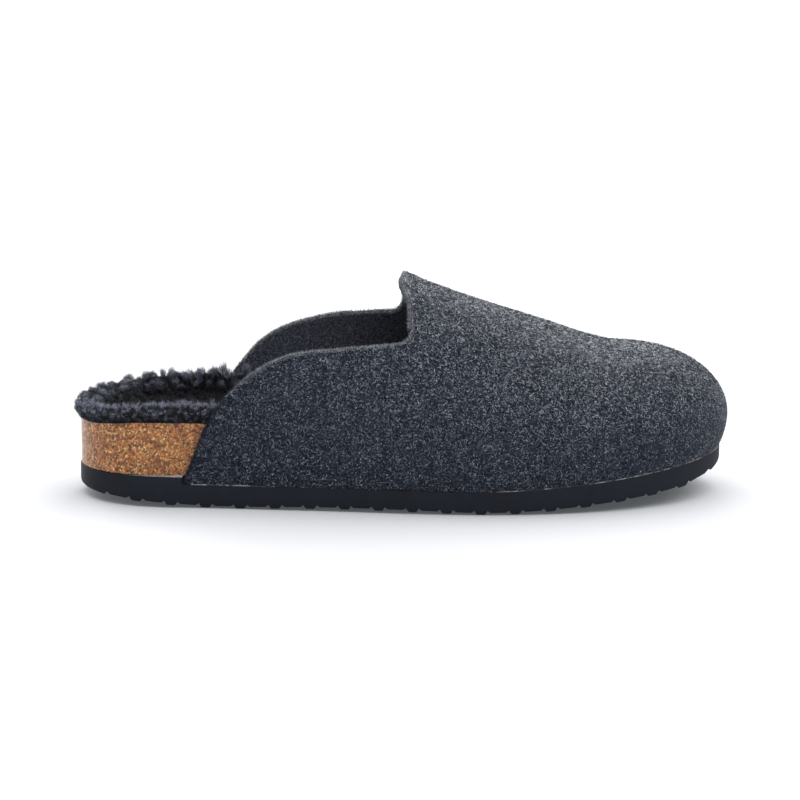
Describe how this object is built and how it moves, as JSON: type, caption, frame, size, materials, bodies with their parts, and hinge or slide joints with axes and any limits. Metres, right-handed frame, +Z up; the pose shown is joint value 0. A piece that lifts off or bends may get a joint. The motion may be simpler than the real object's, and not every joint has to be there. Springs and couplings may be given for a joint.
{
  "type": "felt slipper",
  "caption": "Backless wool felt slipper for the right foot: hollow felt upper on a cork footbed with a fleece insole and a grooved foam outsole.",
  "frame": {"origin": "bottom centre of the shoe's box, on the floor that the sole stands on", "axes": "+X from heel to toe, +Y towards the big-toe side, +Z up"},
  "size_m": [0.2808, 0.1062, 0.0943],
  "materials": {
    "black_foam": "matte foam rubber",
    "cork": "granular cork with a satin lacquer",
    "charcoal_felt": "heathered wool felt with a short nap",
    "black_fleece": "curly deep fleece"
  },
  "bodies": {
    "root": {"outsole": "black_foam", "footbed": "cork", "upper": "charcoal_felt", "insole": "black_fleece"}
  },
  "joints": []
}
